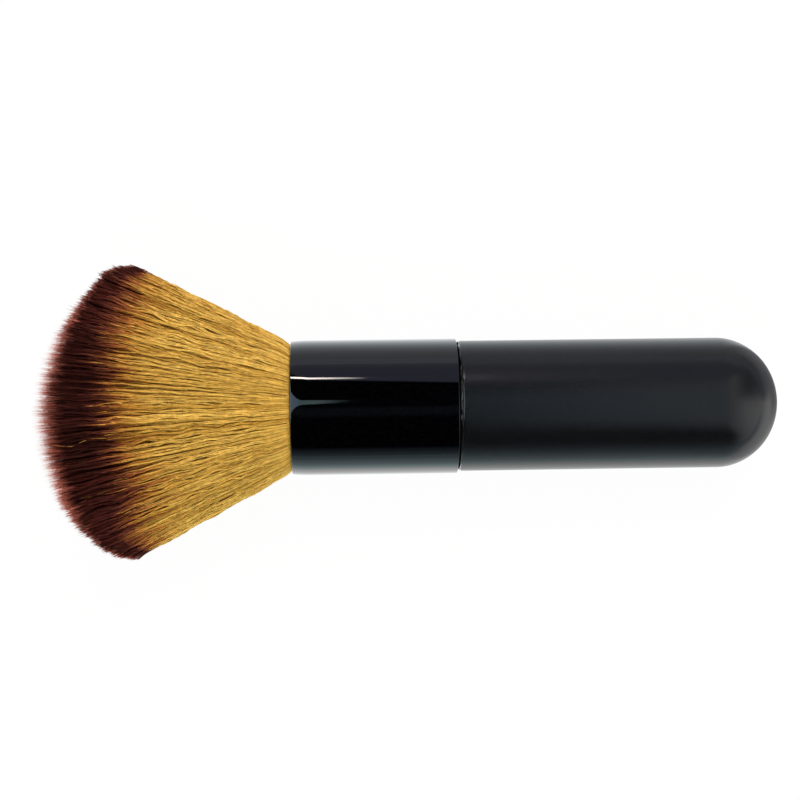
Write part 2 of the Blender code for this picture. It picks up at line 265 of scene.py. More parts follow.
profile += [arc((dome_start, 0), (DOME_LENGTH, HANDLE_RADIUS), 90, 0, 40)]
handle_piece = turned("handle_turned", np.vstack(profile), 192)

# %% [markdown]
# ## Soft-touch lacquer
# The handle is sprayed with a polyurethane soft-touch lacquer full of fine matting beads. It is a
# near-black grey with a wide, dull highlight, a faint sheen where it turns away, and a grain like very
# fine paper. Beads are 0.03 mm wide, too fine to show, so the grain is drawn 0.35 mm wide.

# %% Lacquer of the handle
GRAIN = 0.35 * MM
CLOUD = 9.0 * MM  # slow change of tone where the spray lay thicker

lacquer, tree, shader, place = new_material("soft_touch_lacquer_sprayed")
grain = add(tree, "TexNoise", {"Vector": place, "Scale": 1 / GRAIN, "Detail": 2.0, "Roughness": 0.6})
cloud = add(tree, "TexNoise", {"Vector": place, "Scale": 1 / CLOUD, "Detail": 3.0})
deep = add(tree, "ValToRGB", {"Fac": cloud}, [(0.35, "040506"), (0.65, "08090A")])
speck = add(tree, "ValToRGB", {"Fac": grain}, [(0.38, "020304"), (0.62, "121316")])
both = add(tree, "Mix", {0: 0.4, 6: deep, 7: speck}, data_type="RGBA")
rough = add(tree, "MapRange", {"Value": grain, "To Min": 0.18, "To Max": 0.24})
bump = add(tree, "Bump", {"Height": grain, "Strength": 0.1, "Distance": 0.03 * MM})
fill(tree, shader, {
    "Base Color": both,
    "Roughness": rough,
    "Normal": bump,
    "IOR": 1.48,
    "Specular IOR Level": 0.76,
    "Sheen Weight": 0.03,
    "Sheen Roughness": 0.5,
})
dress(handle_piece, lacquer, "soft_touch_black_lacquer", "handle")

# %% [markdown]
# ## The ferrule
# The ferrule is drawn aluminium tube. Its sheet narrows a little before the mouth and is rolled in
# there, so that no raw edge cuts the hair. A gloss surface shows every error of its normals, so the
# straight side has a ring every millimetre, which keeps the bent shading of the roll out of it.

# %% Draw the ferrule
WALL = 0.4
LIP, LIP_LENGTH = 0.75, 0.35  # height of the roll outside the mouth; pressed flat, it is shorter than high
DRAW, DRAW_LENGTH = 0.15, 3.0
REAR_EDGE = 0.06

draw_share = np.linspace(0, 1, 13)[1:]
draw_x = LIP_LENGTH + draw_share * DRAW_LENGTH
draw_r = tube_radius - DRAW * (1 - draw_share) ** 2
side_start = draw_x[-1] + 0.2
rear_start = tube_length - 2 * REAR_EDGE
outside = [arc((LIP_LENGTH, lip_radius), (LIP_LENGTH, LIP), 180, 90, 14)]
outside += [np.column_stack((draw_x, draw_r))]
outside += [line((side_start, tube_radius), (rear_start, tube_radius))]
outside += [line((rear_start, tube_radius), (tube_length - REAR_EDGE, tube_radius))]
outside += [arc((tube_length - REAR_EDGE, tube_radius - REAR_EDGE), (REAR_EDGE, REAR_EDGE), 90, 0, 6)]
inside = [arc((LIP_LENGTH, lip_radius), (LIP_LENGTH / 2, LIP - WALL), 180, 90, 8)]
inside += [np.column_stack((draw_x, draw_r - WALL))]
inside += [line((side_start, tube_radius - WALL), (tube_length, tube_radius - WALL))]
ferrule_profile = np.vstack([*outside, np.vstack(inside)[::-1]])
ferrule_piece = turned("ferrule_drawn", ferrule_profile, 256, closed=True)

# %% [markdown]
# ## Gloss lacquer on aluminium
# The tube is dipped in black lacquer, then in a clear one, and baked. The lacquer hides the metal, so
# this is no metal to the eye: a black body under two hard, clear skins. Each mirrors the lamps at a
# twenty-fifth of their strength, and more at its edges. Dipped lacquer is never quite flat, and its
# orange peel has waves of about 2 mm that make straight reflections run a little unevenly.

# %% Lacquer of the ferrule
PEEL = 2.2 * MM
HAZE = 0.6 * MM

gloss, tree, shader, place = new_material("gloss_lacquer_baked_on_aluminium")
peel = add(tree, "TexNoise", {"Vector": place, "Scale": 1 / PEEL, "Detail": 1.0, "Roughness": 0.3})
haze = add(tree, "TexNoise", {"Vector": place, "Scale": 1 / HAZE, "Detail": 3.0})
tint = add(tree, "ValToRGB", {"Fac": haze}, [(0.3, "000001"), (0.7, "030304")])
rough = add(tree, "MapRange", {"Value": haze, "To Min": 0.03, "To Max": 0.06})
bump = add(tree, "Bump", {"Height": peel, "Strength": 0.06, "Distance": 0.05 * MM})
fill(tree, shader, {
    "Base Color": tint,
    "Roughness": rough,
    "Normal": bump,
    "IOR": 1.52,
    "Coat Weight": 1.0,
    "Coat IOR": 1.5,
    "Coat Roughness": 0.03,
})
dress(ferrule_piece, gloss, "gloss_black_aluminium", "ferrule")

# %% [markdown]
# ## The seam
# Handle and ferrule are glued, and a thin bead of glue came out between them. A finger has wiped it
# against the handle's rounded edge, so it is flat on top, leans a little, and leaves a narrow dark
# groove by the ferrule. It goes up and down and to and fro on its way round. A few slow waves round
# the turn make that, which is truer than a plain ring and needs no simulation.

# %% Section of the glue
GLUE_INNER, GLUE_OUTER = 11.3, 11.65
FILM_START = TENON_START + 1.5
EDGE_GAP = 0.03  # between the bead and the handle's rounded edge
BEAD_START, BEAD_END = tube_length + 0.34, SHOULDER + EDGE - 0.71 * (EDGE + EDGE_GAP)
BEAD_LEAN = 0.12  # its rear edge is higher than its middle by this share of its rise
BEAD_RISE = HANDLE_RADIUS - 0.06 - GLUE_OUTER

bead_middle = (BEAD_START + BEAD_END) / 2
film = [line((FILM_START, GLUE_INNER), (FILM_START, GLUE_OUTER), 0.2)]
film += [line((FILM_START, GLUE_OUTER), (BEAD_START - 0.3, GLUE_OUTER))]
film_rows = sum(len(part) for part in film)
angles = np.radians(np.linspace(180, 20, 17))
flat_x, flat_r = np.sign(np.cos(angles)) * np.abs(np.cos(angles)) ** 0.5, np.abs(np.sin(angles)) ** 0.5
bead_rises = BEAD_RISE * flat_r * (1 + BEAD_LEAN * flat_x)
bead = np.column_stack((bead_middle + (bead_middle - BEAD_START) * flat_x, GLUE_OUTER + bead_rises))
edge_centre, edge_radius = (SHOULDER + EDGE, HANDLE_RADIUS - EDGE), EDGE + EDGE_GAP
on_edge = arc(edge_centre, (edge_radius, edge_radius), 136, 180, 6)
tail = line((SHOULDER - EDGE_GAP, GLUE_INNER), (FILM_START, GLUE_INNER))
glue_profile = np.vstack([*film, bead, on_edge, tail])

# %% Run the glue round the seam
GLUE_SEGMENTS = 288
WAVE_UP, WAVE_ALONG, WAVE_LAG = 0.18, 0.12, 40  # how far the bead wanders; the lag is in segments

turn = np.linspace(0, 2 * np.pi, GLUE_SEGMENTS, endpoint=False)
waves = 0.3 * np.sin(5 * turn + 1.0) + 0.25 * np.sin(11 * turn + 2.2) + 0.45 * np.sin(23 * turn + 3.1)
free_share = np.zeros(len(glue_profile))
free_share[film_rows : film_rows + len(bead)] = (1 - flat_x) / 2  # only its front side is free to wander
ups = WAVE_UP * free_share[:, None] * waves
shifts = WAVE_ALONG * free_share[:, None] * np.roll(waves, WAVE_LAG)
wander = np.stack((shifts, ups), axis=-1)
glue_piece = turned("seam_glue", glue_profile, GLUE_SEGMENTS, closed=True, wobble=wander)

# %% [markdown]
# The glue is epoxy adhesive, black with dust and as glossy as it came out. The finger that wiped it
# left ripples about a millimetre wide, which break its reflection into short glints.

# %% Cured glue
DUST = 0.5 * MM
RIPPLE = 1.2 * MM

glue, tree, shader, place = new_material("cured_epoxy_adhesive")
dust = add(tree, "TexNoise", {"Vector": place, "Scale": 1 / DUST, "Detail": 3.0})
tint = add(tree, "ValToRGB", {"Fac": dust}, [(0.35, "050505"), (0.7, "0E0D0C")])
rough = add(tree, "MapRange", {"Value": dust, "To Min": 0.05, "To Max": 0.14})
wiped = add(tree, "TexNoise", {"Vector": place, "Scale": 1 / RIPPLE, "Detail": 1.0})
bump = add(tree, "Bump", {"Height": wiped, "Strength": 1.0, "Distance": 0.02 * MM})
fill(tree, shader, {
    "Base Color": tint,
    "Roughness": rough,
    "Normal": bump,
    "Coat Weight": 1.0,
    "Coat IOR": 1.55,
})
dress(glue_piece, glue, "tenon_glue", "tenon_glue")

# %% [markdown]
# ## What is inside the ferrule
# The filaments are tied with thread, potted in resin and locked by a second pour behind them. None of
# it shows in the picture, yet a loose ferrule or a cut would show it. The thread is a helix whose
# section has three lobes that twist as they go, because cotton thread is three strands laid together.
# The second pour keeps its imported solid, whose plain hollow face is right, and gets a resin.

# %% Wind the thread
THREAD_TURNS, THREAD_PITCH, THREAD_RADIUS = 3, 1.0, 0.25
THREAD_START = 4.85
PUSH_GAP = 0.25  # between the thread and the tube's wall
WINDING_RADIUS = tube_radius - WALL - PUSH_GAP - THREAD_RADIUS
PLY_TWIST = 0.9  # millimetres of thread for one full turn of its three strands
PLY_DEPTH = 0.22  # of the radius, between two strands
STEPS = THREAD_TURNS * 150
END_STEPS = 6  # over which each end is rounded off

turns = np.linspace(-0.005, THREAD_TURNS + 0.005, STEPS)
angle = 2 * np.pi * turns
length = angle * np.hypot(WINDING_RADIUS, THREAD_PITCH / 2 / np.pi)
outward = np.column_stack((np.zeros_like(angle), np.cos(angle), np.sin(angle)))
centre = outward * WINDING_RADIUS
centre[:, 0] = THREAD_START + turns * THREAD_PITCH
sideways = unit(np.cross(np.gradient(centre, axis=0), outward))
round_it = np.linspace(0, 2 * np.pi, 24, endpoint=False)
lobes = np.abs(np.cos(1.5 * (round_it[None, :] - 2 * np.pi * length[:, None] / PLY_TWIST)))
from_end = np.minimum(np.arange(STEPS), np.arange(STEPS)[::-1])
ends = np.sqrt(np.clip(from_end / END_STEPS, 0, 1))
reach = THREAD_RADIUS * (1 - PLY_DEPTH + PLY_DEPTH * lobes) * ends[:, None]
ring = outward[:, None] * np.cos(round_it)[None, :, None]
ring = ring + sideways[:, None] * np.sin(round_it)[None, :, None]
thread_piece = grid_piece("binding_thread_twisted", centre[:, None] + ring * reach[:, :, None], False)

# %% [markdown]
# The thread is undyed cotton, matte and fuzzy, so its bumps are as fine as single fibres. The resin is
# amber and cloudy, with a few small bubbles, which are a painted highlight: the middles of a Voronoi
# pattern's cells are painted pale.

# %% Cotton
FUZZ = 0.12 * MM

cotton, tree, shader, place = new_material("cotton_thread_twisted")
fuzz = add(tree, "TexNoise", {"Vector": place, "Scale": 1 / FUZZ, "Detail": 4.0})
tint = add(tree, "ValToRGB", {"Fac": fuzz}, [(0.3, "B8AE98"), (0.7, "E4DECF")])
bump = add(tree, "Bump", {"Height": fuzz, "Strength": 0.6, "Distance": 0.05 * MM})
fill(tree, shader, {"Base Color": tint, "Normal": bump, "Roughness": 0.9})
dress(thread_piece, cotton, "cotton_thread", "binding_thread")

# %% Resin
BUBBLES = 1.4 * MM
FLOW = 4.0 * MM

resin, tree, shader, place = new_material("cast_epoxy_resin")
cells = add(tree, "TexVoronoi", {"Vector": place, "Scale": 1 / BUBBLES})
flow = add(tree, "TexNoise", {"Vector": place, "Scale": 1 / FLOW, "Detail": 4.0})
amber = add(tree, "ValToRGB", {"Fac": flow}, [(0.3, "8C6A30"), (0.7, "C29C58")])
bubble = add(tree, "MapRange", {"Value": cells, "From Min": 0.05, "From Max": 0.12})
# The bubbles are pale dots at the cells' middles: a painted highlight, not modelled bubbles.
bubble_highlights = add(tree, "Mix", {0: bubble, 6: linear("E8D2A0"), 7: amber}, data_type="RGBA")
fill(tree, shader, {"Base Color": bubble_highlights, "Roughness": 0.18})
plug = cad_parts["root_plug"]
plug.data.materials.clear()
plug.data.materials.append(resin)

# %% [markdown]
# The potted roots are one turned block. On its rear the filaments are cut off in the resin, and a
# pattern of cells as wide as a filament shows their golden ends, which real tubes would make too heavy.

# %% Pot the roots
ROOT_RADIUS, ROOT_START, ROOT_END = 10.9, 4.0, 8.7
POTTED_RADIUS = 10.55  # the filaments' share of it
ROOT_EDGE = ROOT_RADIUS - POTTED_RADIUS
ROOT_CHAMFER = 0.1

root_profile = np.vstack([
    line((ROOT_START, 0), (ROOT_START, POTTED_RADIUS)),
    arc((ROOT_START + ROOT_EDGE, POTTED_RADIUS), (ROOT_EDGE, ROOT_EDGE), 180, 90, 4),
    line((ROOT_START + 0.5, ROOT_RADIUS), (ROOT_END - 0.15, ROOT_RADIUS), 0.6),
    arc((ROOT_END - ROOT_CHAMFER, ROOT_RADIUS - ROOT_CHAMFER), (ROOT_CHAMFER, ROOT_CHAMFER), 90, 0, 3),
    line((ROOT_END, ROOT_RADIUS - 0.2), (ROOT_END, 0)),
    [(ROOT_END, 0)],
])
root_piece = turned("potted_root", root_profile, 128)

# %% Filament ends in resin
CUT_END = 0.13 * MM

potted, tree, shader, place = new_material("filament_ends_in_resin")
ends_seen = add(tree, "TexVoronoi", {"Vector": place, "Scale": 1 / CUT_END})
tint = add(tree, "ValToRGB", {"Fac": ends_seen}, [(0.25, "C99A3F"), (0.6, "5A3C14")])
fill(tree, shader, {"Base Color": tint, "Roughness": 0.35})
dress(root_piece, potted, "two_tone_filament", "bristle_bundle")

# %% [markdown]
# ## The head
# The head is some thirty thousand synthetic filaments, 0.12 mm thick and slightly crimped. They leave
# the mouth packed side by side, swell at once by half a millimetre, fan out to an oval, and end on a
# domed crown that a mould has given them. A particle system would comb them too evenly and can't be
# kept as plain mesh, so each filament is a three-sided tube along its own line, and all lines are
# worked out at once:
#
# * the roots fill a disc in a sunflower's spiral, which is the evenest way to pack points in a disc;
# * a filament keeps its place in the disc all the way, while the disc widens to the fan's oval;
# * neighbours gather in small locks, more so towards the tips, and locks wave a little;
# * the flanks of the crown were trimmed with scissors, so they end more evenly, and blunt.

# %% Form of the fan
HAIR_RADIUS = 0.06
MOUTH_PACK = lip_radius - 0.03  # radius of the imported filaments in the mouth
FLARE, FLARE_LENGTH = 0.55, 0.5  # in front of the mouth the bundle swells by this much, this soon
DROOP = 0.4  # the head hangs to one side by this at its tips
CROWN_RISE = 0.35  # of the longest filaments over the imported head
# For the wide and the thin way: the half size, how far the crown falls back to the rim, and for the
# minus and the plus side the form of that fall, 0 for elliptic and 1 for parabolic, and the
# millimetres that round out the corner at the rim.
WAYS = (
    (head_width / 2, 15.8, (0.2, 0.65), (0.0, 9.0)),
    (head_thickness / 2, 2.2, (0.4, 0.4), (0.0, 0.0)),
)


def fan_halves(x):
    """Half width and half thickness at x from the mouth. The sides of the fan are straight, so with
    s = x / length of the side each is foot + (half - foot) s, less what is left of the swelling,
    flare times e to the -x / flare length; inside the ferrule it narrows evenly."""
    halves, foot = [], MOUTH_PACK + FLARE
    for half, drop, _, _ in WAYS:
        s = x / (head_reach - drop)
        opened = foot + (half - foot) * s - FLARE * np.exp(-np.maximum(x, 0) / FLARE_LENGTH)
        packed = MOUTH_PACK + (MOUTH_PACK - POTTED_RADIUS) * x / ROOT_START
        halves.append(np.where(x < 0, packed, opened))
    return np.stack(halves, axis=-1)


# %% Form of the crown
HALVINGS = 30


def crown(offsets):
    """Height of the crown over points (y, z). With the share of the half width s, it is the reach,
    less each drop times a mean of s^2 and 1 - sqrt(1 - s^2), with a weight of its own at each side,
    plus s^10 sqrt(1 - s^2) times the corner, which only counts close to the rim."""
    height = head_reach + CROWN_RISE
    for offset, (half, drop, forms, rounding) in zip(np.moveaxis(offsets, -1, 0), WAYS):
        share = np.clip(np.abs(offset) / half, 0, 1)
        form, corner = np.where(offset < 0, *forms), np.where(offset < 0, *rounding)
        height = height - drop * (form * share**2 + (1 - form) * (1 - np.sqrt(1 - share**2)))
        height = height + corner * share**10 * np.sqrt(1 - share**2)
    return height


def tip_heights(disc):
    """Where the line of each point of the disc meets the crown, found by halving an interval."""
    low, high = np.zeros(len(disc)), np.full(len(disc), head_reach + 2.0)
    for _ in range(HALVINGS):
        middle = (low + high) / 2
        inside = middle < crown(disc * fan_halves(middle))
        low, high = np.where(inside, middle, low), np.where(inside, high, middle)
    return low


# %% Roots and locks
FILAMENTS = 30000
SHELL_SHARE = 0.88  # filaments further out than this share of the disc are seen over their length
LOCKS, TUFTS = 1000, 3200
AT_ONCE = 1000  # roots whose distances are reckoned in one go
random = np.random.default_rng(11)


def sunflower(count, shift=0.0):
    """Points i of the unit disc at radius sqrt((i + 0.5) / count) and angle i times the golden angle."""
    order = np.arange(count) + 0.5
    radius, turn = np.sqrt(order / count), order * np.pi * (3 - np.sqrt(5)) + shift
    return np.column_stack((radius * np.cos(turn), radius * np.sin(turn)))


def nearest(points, centres):
    """The number of the centre with the least sum of squared differences from each point."""
    found = [
        np.argmin(((points[i : i + AT_ONCE, None] - centres[None]) ** 2).sum(axis=2), axis=1)
        for i in range(0, len(points), AT_ONCE)
    ]
    return np.concatenate(found)


roots = sunflower(FILAMENTS) + random.normal(0, 0.25 / np.sqrt(FILAMENTS), (FILAMENTS, 2))
roots /= np.maximum(1, np.linalg.norm(roots, axis=1, keepdims=True))
lock_centres = sunflower(LOCKS, 0.4) + random.normal(0, 0.3 / np.sqrt(LOCKS), (LOCKS, 2))
tuft_centres = sunflower(TUFTS, 2.1) + random.normal(0, 0.4 / np.sqrt(TUFTS), (TUFTS, 2))
lock, tuft = nearest(roots, lock_centres), nearest(roots, tuft_centres)
shell = np.linalg.norm(roots, axis=1) > SHELL_SHARE
print(f"{shell.sum()} shell and {(~shell).sum()} core filaments in {LOCKS} locks")

# %% [markdown]
# Each filament now gets its line. Shares of its free length say where its joints are: many for the
# shell, whose crimp shows, and few for the core, of which only the ends show. What locks and tufts do
# is drawn once for each of them: their waves, how far they lift and lean, and how short they are cut.

# %% Habits of locks and tufts
SHELL_JOINTS = np.concatenate(([0.012], np.linspace(0, 0.93, 20)[1:], [0.98, 1.0]))
CORE_JOINTS = np.array([0.4, 0.7, 0.88, 0.98, 1.0])
TRIMMED = 0.85  # by this the flanks are cut back
TRIM_START, TRIM_RAMP = 0.35, 0.35  # from this far out, and fully after this much more
UNEVEN, LONGEST = 0.85, -1.5  # spread of the filaments' lengths, and how much the longest stand out

lock_wave = random.uniform(0, 2 * np.pi, (LOCKS, 2))
lock_length = random.uniform(6, 12, (LOCKS, 2))  # millimetres from one crest to the next
lock_swing = random.normal(0, 0.14, (LOCKS, 2))
tuft_wave = random.uniform(0, 2 * np.pi, (TUFTS, 2))
tuft_length = random.uniform(4.5, 7, (TUFTS, 2))
tuft_swing = random.normal(0, 0.1, (TUFTS, 2))
lock_lift = random.normal(0, 0.016, LOCKS)
tuft_lift = random.normal(0, 0.008, TUFTS)
tuft_lean = random.normal(0, 0.16, (TUFTS, 2))
lock_short, tuft_short = np.abs(random.normal(0, 0.35, LOCKS)), np.abs(random.normal(0, 0.3, TUFTS))
own_short = np.maximum(random.normal(0.05, UNEVEN, FILAMENTS), LONGEST)

flank = np.abs(roots[:, 0])  # 0 in the middle of the head, 1 at its flanks
raggedness = 1 - 0.88 * flank  # the flanks of the crown are cut more evenly than its middle
gather = 1 - 0.9 * flank**2  # and there the filaments gather less into tufts
blunt = np.clip((flank - TRIM_START) / TRIM_RAMP, 0, 1)  # and end blunt
even_tip = tip_heights(roots)

# %% Lines of the filaments
# Shares of the way to the tuft's and the lock's middle: at the mouth, and how much more by the tip.
TUFT_PULL, LOCK_PULL = (0.15, 0.7), (0.12, 0.1)
FREE_LENGTH = 6  # over which waves and crimp grow to their full size
CRIMP = 0.09


def filament_lines(chosen, shares):
    """Points (filament, joint, 3) in brush millimetres. In the disc a filament moves from its root
    towards its tuft's and its lock's middle as it goes out; the fan's halves turn that into
    millimetres, and the lock's wave, the tuft's lean and the filament's own crimp are added."""
    own_lock, own_tuft = lock[chosen], tuft[chosen]
    short = own_short[chosen] + lock_short[own_lock] + tuft_short[own_tuft]
    tip = even_tip[chosen] - short * raggedness[chosen] - TRIMMED * blunt[chosen]
    x = np.concatenate((np.tile([-ROOT_START, 0.0], (len(chosen), 1)), tip[:, None] * shares), axis=1)
    out = np.clip(x / tip[:, None], 0, 1)[..., None]
    loose = gather[chosen][:, None, None]
    start = roots[chosen][:, None]
    to_tuft = tuft_centres[own_tuft][:, None] - start
    to_lock = lock_centres[own_lock][:, None] - start
    to_tuft = to_tuft * (TUFT_PULL[0] + TUFT_PULL[1] * out * loose) * np.sign(out)
    to_lock = to_lock * (LOCK_PULL[0] + LOCK_PULL[1] * out) * np.sign(out)
    lift = 1 + out * loose * (lock_lift[own_lock] + tuft_lift[own_tuft])[:, None, None]
    yz = (start + to_tuft + to_lock) * lift * fan_halves(x)
    free = np.clip(x / FREE_LENGTH, 0, 1)[..., None]
    habits = (own_lock, lock_wave, lock_length, lock_swing), (own_tuft, tuft_wave, tuft_length, tuft_swing)
    for group, phase, crests, swing in habits:
        wave = phase[group][:, None] + 2 * np.pi * x[..., None] / crests[group][:, None]
        yz += free * swing[group][:, None] * np.sin(wave)
    yz += free * out * loose * tuft_lean[own_tuft][:, None]
    yz += free * random.normal(0, CRIMP, yz.shape)
    yz[..., 0] -= DROOP * out[..., 0] ** 2
    return np.concatenate((-x[..., None], yz), axis=2), tip[:, None] - x


# %% [markdown]
# A filament's tube has three sides, one face at its root and a point at its tip. An untrimmed filament
# is drawn fine over its last 11 mm and runs out to nothing over 3 mm; a trimmed one stays thick to its
# end. All filaments of a piece have the same pattern of corners, so that pattern is written once and
# repeated by adding a multiple of the points that each one has.

# %% Points of the tubes
TAPER, TAPER_CURVE = 11.0, 0.62
TIP_SHARE = 0.1
POINT = 3.0  # over its last millimetres an untrimmed filament runs out to nothing
BLUNT_SHARE = 0.8  # thickness of a trimmed one's end
FLOOR_ROOM = 0.02  # a filament stays above the floor by this much more than its radius


def tube_points(lines, from_tip, cut):
    """Points (filament, corner, 3) of tubes along lines (filament, joint, 3). Corner j of a joint is
    the joint plus the radius times cos(t + 120 j) and sin(t + 120 j) along two directions square to
    the filament. The last joint is one point. Joints below the floor are lifted onto it first."""
    floor_height = to_world(lines)[..., 2] / MM - HAIR_RADIUS - FLOOR_ROOM
    lines = lines - np.minimum(floor_height, 0)[..., None] * axes[:, 2]
    run = unit(lines[:, -1] - lines[:, 1])
    side = unit(np.cross(run, (0.0, 0.3, 1.0)))
    other = np.cross(run, side)
    turn = random.uniform(0, 2 * np.pi, len(lines))[:, None] + np.radians([0, 120, 240])
    corner = np.cos(turn)[..., None] * side[:, None] + np.sin(turn)[..., None] * other[:, None]
    fine = TIP_SHARE + (1 - TIP_SHARE) * np.clip(from_tip / TAPER, 0, 1) ** TAPER_CURVE
    fine *= np.clip(from_tip / POINT, 0, 1)
    radius = HAIR_RADIUS * (fine + (1 - fine) * BLUNT_SHARE * cut[:, None])
    tubes = lines[:, :-1, None] + radius[:, :-1, None, None] * corner[:, None]
    return np.concatenate((tubes.reshape(len(lines), -1, 3), lines[:, -1:]), axis=1)


# %% Faces of one tube
def tube_pattern(joints):
    """The faces of one tube: three sides of four-sided faces, three faces to the tip and one at the
    root. Gives all their corners, how many each face has, and each corner's place (u, v) in a cell."""
    last = 3 * (joints - 2)
    j, k = np.meshgrid(np.arange(joints - 2), np.arange(3), indexing="ij")
    after = (k + 1) % 3
    quads = np.stack((3 * j + k, 3 * j + after, 3 * j + 3 + after, 3 * j + 3 + k), axis=-1).reshape(-1)
    tip_faces = np.array([(last + a, last + (a + 1) % 3, last + 3) for a in range(3)]).reshape(-1)
    share = np.linspace(0.06, 1, joints)
    quad_v = np.stack((share[j], share[j], share[j + 1], share[j + 1]), axis=-1).reshape(-1)
    v = np.concatenate((quad_v, np.tile([share[-2], share[-2], 1.0], 3), (0.0, 0.0, 0.05)))
    u = np.concatenate((np.tile([0.1, 0.9, 0.9, 0.1], last), np.tile([0.1, 0.9, 0.5], 4)))
    sizes = np.array([4] * last + [3, 3, 3, 3])
    return np.concatenate((quads, tip_faces, (2, 1, 0))), sizes, u, v


# %% [markdown]
# Every filament also gets a narrow cell of its own in the piece's map, and two numbers that the
# material reads: how far from its tip a point is, and how light the filament is.

# %% Pieces of filaments
MAP_COLUMNS = 256


def filament_piece(name, lines, from_tip, cut, dye, tone):
    """One mesh of many tubes along lines (filament, joint, 3). The dye and tone are given for each
    joint, and the three corners of a joint share them."""
    count, joints = from_tip.shape
    points = tube_points(lines, from_tip, cut)
    pattern, sizes, u, v = tube_pattern(joints)
    corners = (pattern + points.shape[1] * np.arange(count)[:, None]).reshape(-1)
    starts = np.concatenate(([0], np.cumsum(np.tile(sizes, count))[:-1]))

    mesh = bpy.data.meshes.new(name)
    mesh.vertices.add(count * points.shape[1])
    mesh.loops.add(len(corners))
    mesh.polygons.add(len(starts))
    mesh.vertices.foreach_set("co", to_world(points.reshape(-1, 3)).ravel())
    mesh.loops.foreach_set("vertex_index", corners)
    mesh.polygons.foreach_set("loop_start", starts)
    mesh.update(calc_edges=True)
    mesh.shade_smooth()

    for label, values in (("dye_place", dye), ("tone", tone)):
        numbers = np.concatenate((np.repeat(values[:, :-1], 3, axis=1), values[:, -1:]), axis=1)
        attribute = mesh.attributes.new(label, "FLOAT", "POINT")
        attribute.data.foreach_set("value", numbers.ravel().astype(np.float32))

    rows = int(np.ceil(count / MAP_COLUMNS))
    column, row = np.arange(count) % MAP_COLUMNS, np.arange(count) // MAP_COLUMNS
    cells = ((column[:, None] + u) / MAP_COLUMNS, (row[:, None] + 0.03 + 0.94 * v) / rows)
    mesh.uv_layers.new(name="OFBake").data.foreach_set("uv", np.stack(cells, axis=-1).ravel())
    print(f"{name}: {count} filaments, {len(starts) + 3 * (joints - 2) * count} triangles")
    return place_object(name, mesh)


# %% [markdown]
# ## Dyed filament
# The filaments are polyester, golden right through, and their ends stood in a dark red-brown dye.
# They were dipped before a mould gave the crown its dome, so the dye reaches a nearly straight line
# across the head, and filaments at its flanks are dyed over a shorter length. It creeps up each one to
# its own height, so that line is ragged. The colour is read from the distance to the tip that each
# point carries, through one ramp for dark filaments and one for light ones. The pale pink at the very
# tip is the dye's red with painted light: the glow of light that shines through the thin ends. Behind
# that pale tip the distance is shifted, so that the gold begins 12.8 mm away on every filament,
# wherever the line crosses it. Polyester has a clear, waxy gloss, IOR 1.57, and a tone that wavers.

# %% Colour of the filaments
RAMP_LENGTH = 20.0  # millimetres that the ramps cover
WAVER = 0.8 * MM
# The stops at 0 and 0.055 are the pale tip: the dye's red, lightened by painted light shining through.
dark_stops = [(0, "D05C4A"), (0.055, "8A3020"), (0.12, "180504"), (0.455, "1E0805")]
dark_stops += [(0.58, "4A1A0A"), (0.65, "8A4410"), (0.725, "A8701E"), (1.0, "B8862B")]
light_stops = [(0, "FFD8CA"), (0.055, "F08C78"), (0.12, "4E1E16"), (0.435, "50201A")]
light_stops += [(0.56, "985034"), (0.65, "C47C3C"), (0.725, "E8B054"), (1.0, "FAD26E")]

fibre, tree, shader, place = new_material("crimped_polyester_filament_dyed")
dye_place = add(tree, "Attribute", attribute_name="dye_place").outputs["Fac"]
light_share = add(tree, "Attribute", attribute_name="tone").outputs["Fac"]
share = add(tree, "Math", {0: dye_place, 1: 1 / RAMP_LENGTH}, operation="MULTIPLY")
dark = add(tree, "ValToRGB", {"Fac": share}, dark_stops)
light = add(tree, "ValToRGB", {"Fac": share}, light_stops)
mixed = add(tree, "Mix", {0: light_share, 6: dark, 7: light}, data_type="RGBA")
waver = add(tree, "TexNoise", {"Vector": place, "Scale": 1 / WAVER, "Detail": 1.0})
gain = {"Value": waver, "From Min": 0.3, "From Max": 0.7, "To Min": 0.85, "To Max": 1.15}
gain = add(tree, "MapRange", gain)
final = add(tree, "VectorMath", {0: mixed, "Scale": gain}, operation="SCALE")
rough = add(tree, "MapRange", {"Value": waver, "To Min": 0.34, "To Max": 0.5})
fill(tree, shader, {"Base Color": final, "Roughness": rough, "IOR": 1.57, "Specular IOR Level": 0.15})

# %% [markdown]
# A trimmed filament has lost its pale tip. Behind its end it is drawn lighter: partly its thinner dye,
# partly a painted highlight for the gloss that the flanks' filaments catch. Some filaments took less
# dye than others, and very few took none.

# %% Dye of each filament
DYED = 12.8  # the distance from the tip where the ramps turn to gold
DYE_LINE = 30.5  # the dye's border, from the mouth
DYE_CURVE, DYE_SHIFT, DYE_FALL = 12.5, 0.14, 4.5  # it falls back to both sides of a place beside the middle
LEAST_SHIFT = -0.6
TIP_START, TIP_END = 1.2, 3.7  # between these distances from the tip the shift sets in
# The pale tip is the dye's red lightened by painted light that shines through the thin ends.
THROUGHLIT_TIP_CUT = 1.35  # millimetres of pale tip that the trimmed filaments have lost
# How much lighter they look: thinner dye and a painted highlight for the gloss of the flanks.
FLANK_DYE_AND_SHEEN = 0.5  # how much lighter they look
FLANK_START, FLANK_RAMP = 2.4, 2.0  # from this far behind the tip, and gone again at the gold
MISSED_SHARE, MISSED_SHIFT = 0.001, 12.0
PALE_SHARE, PALE_STRETCH = 0.08, (1.1, 1.35)

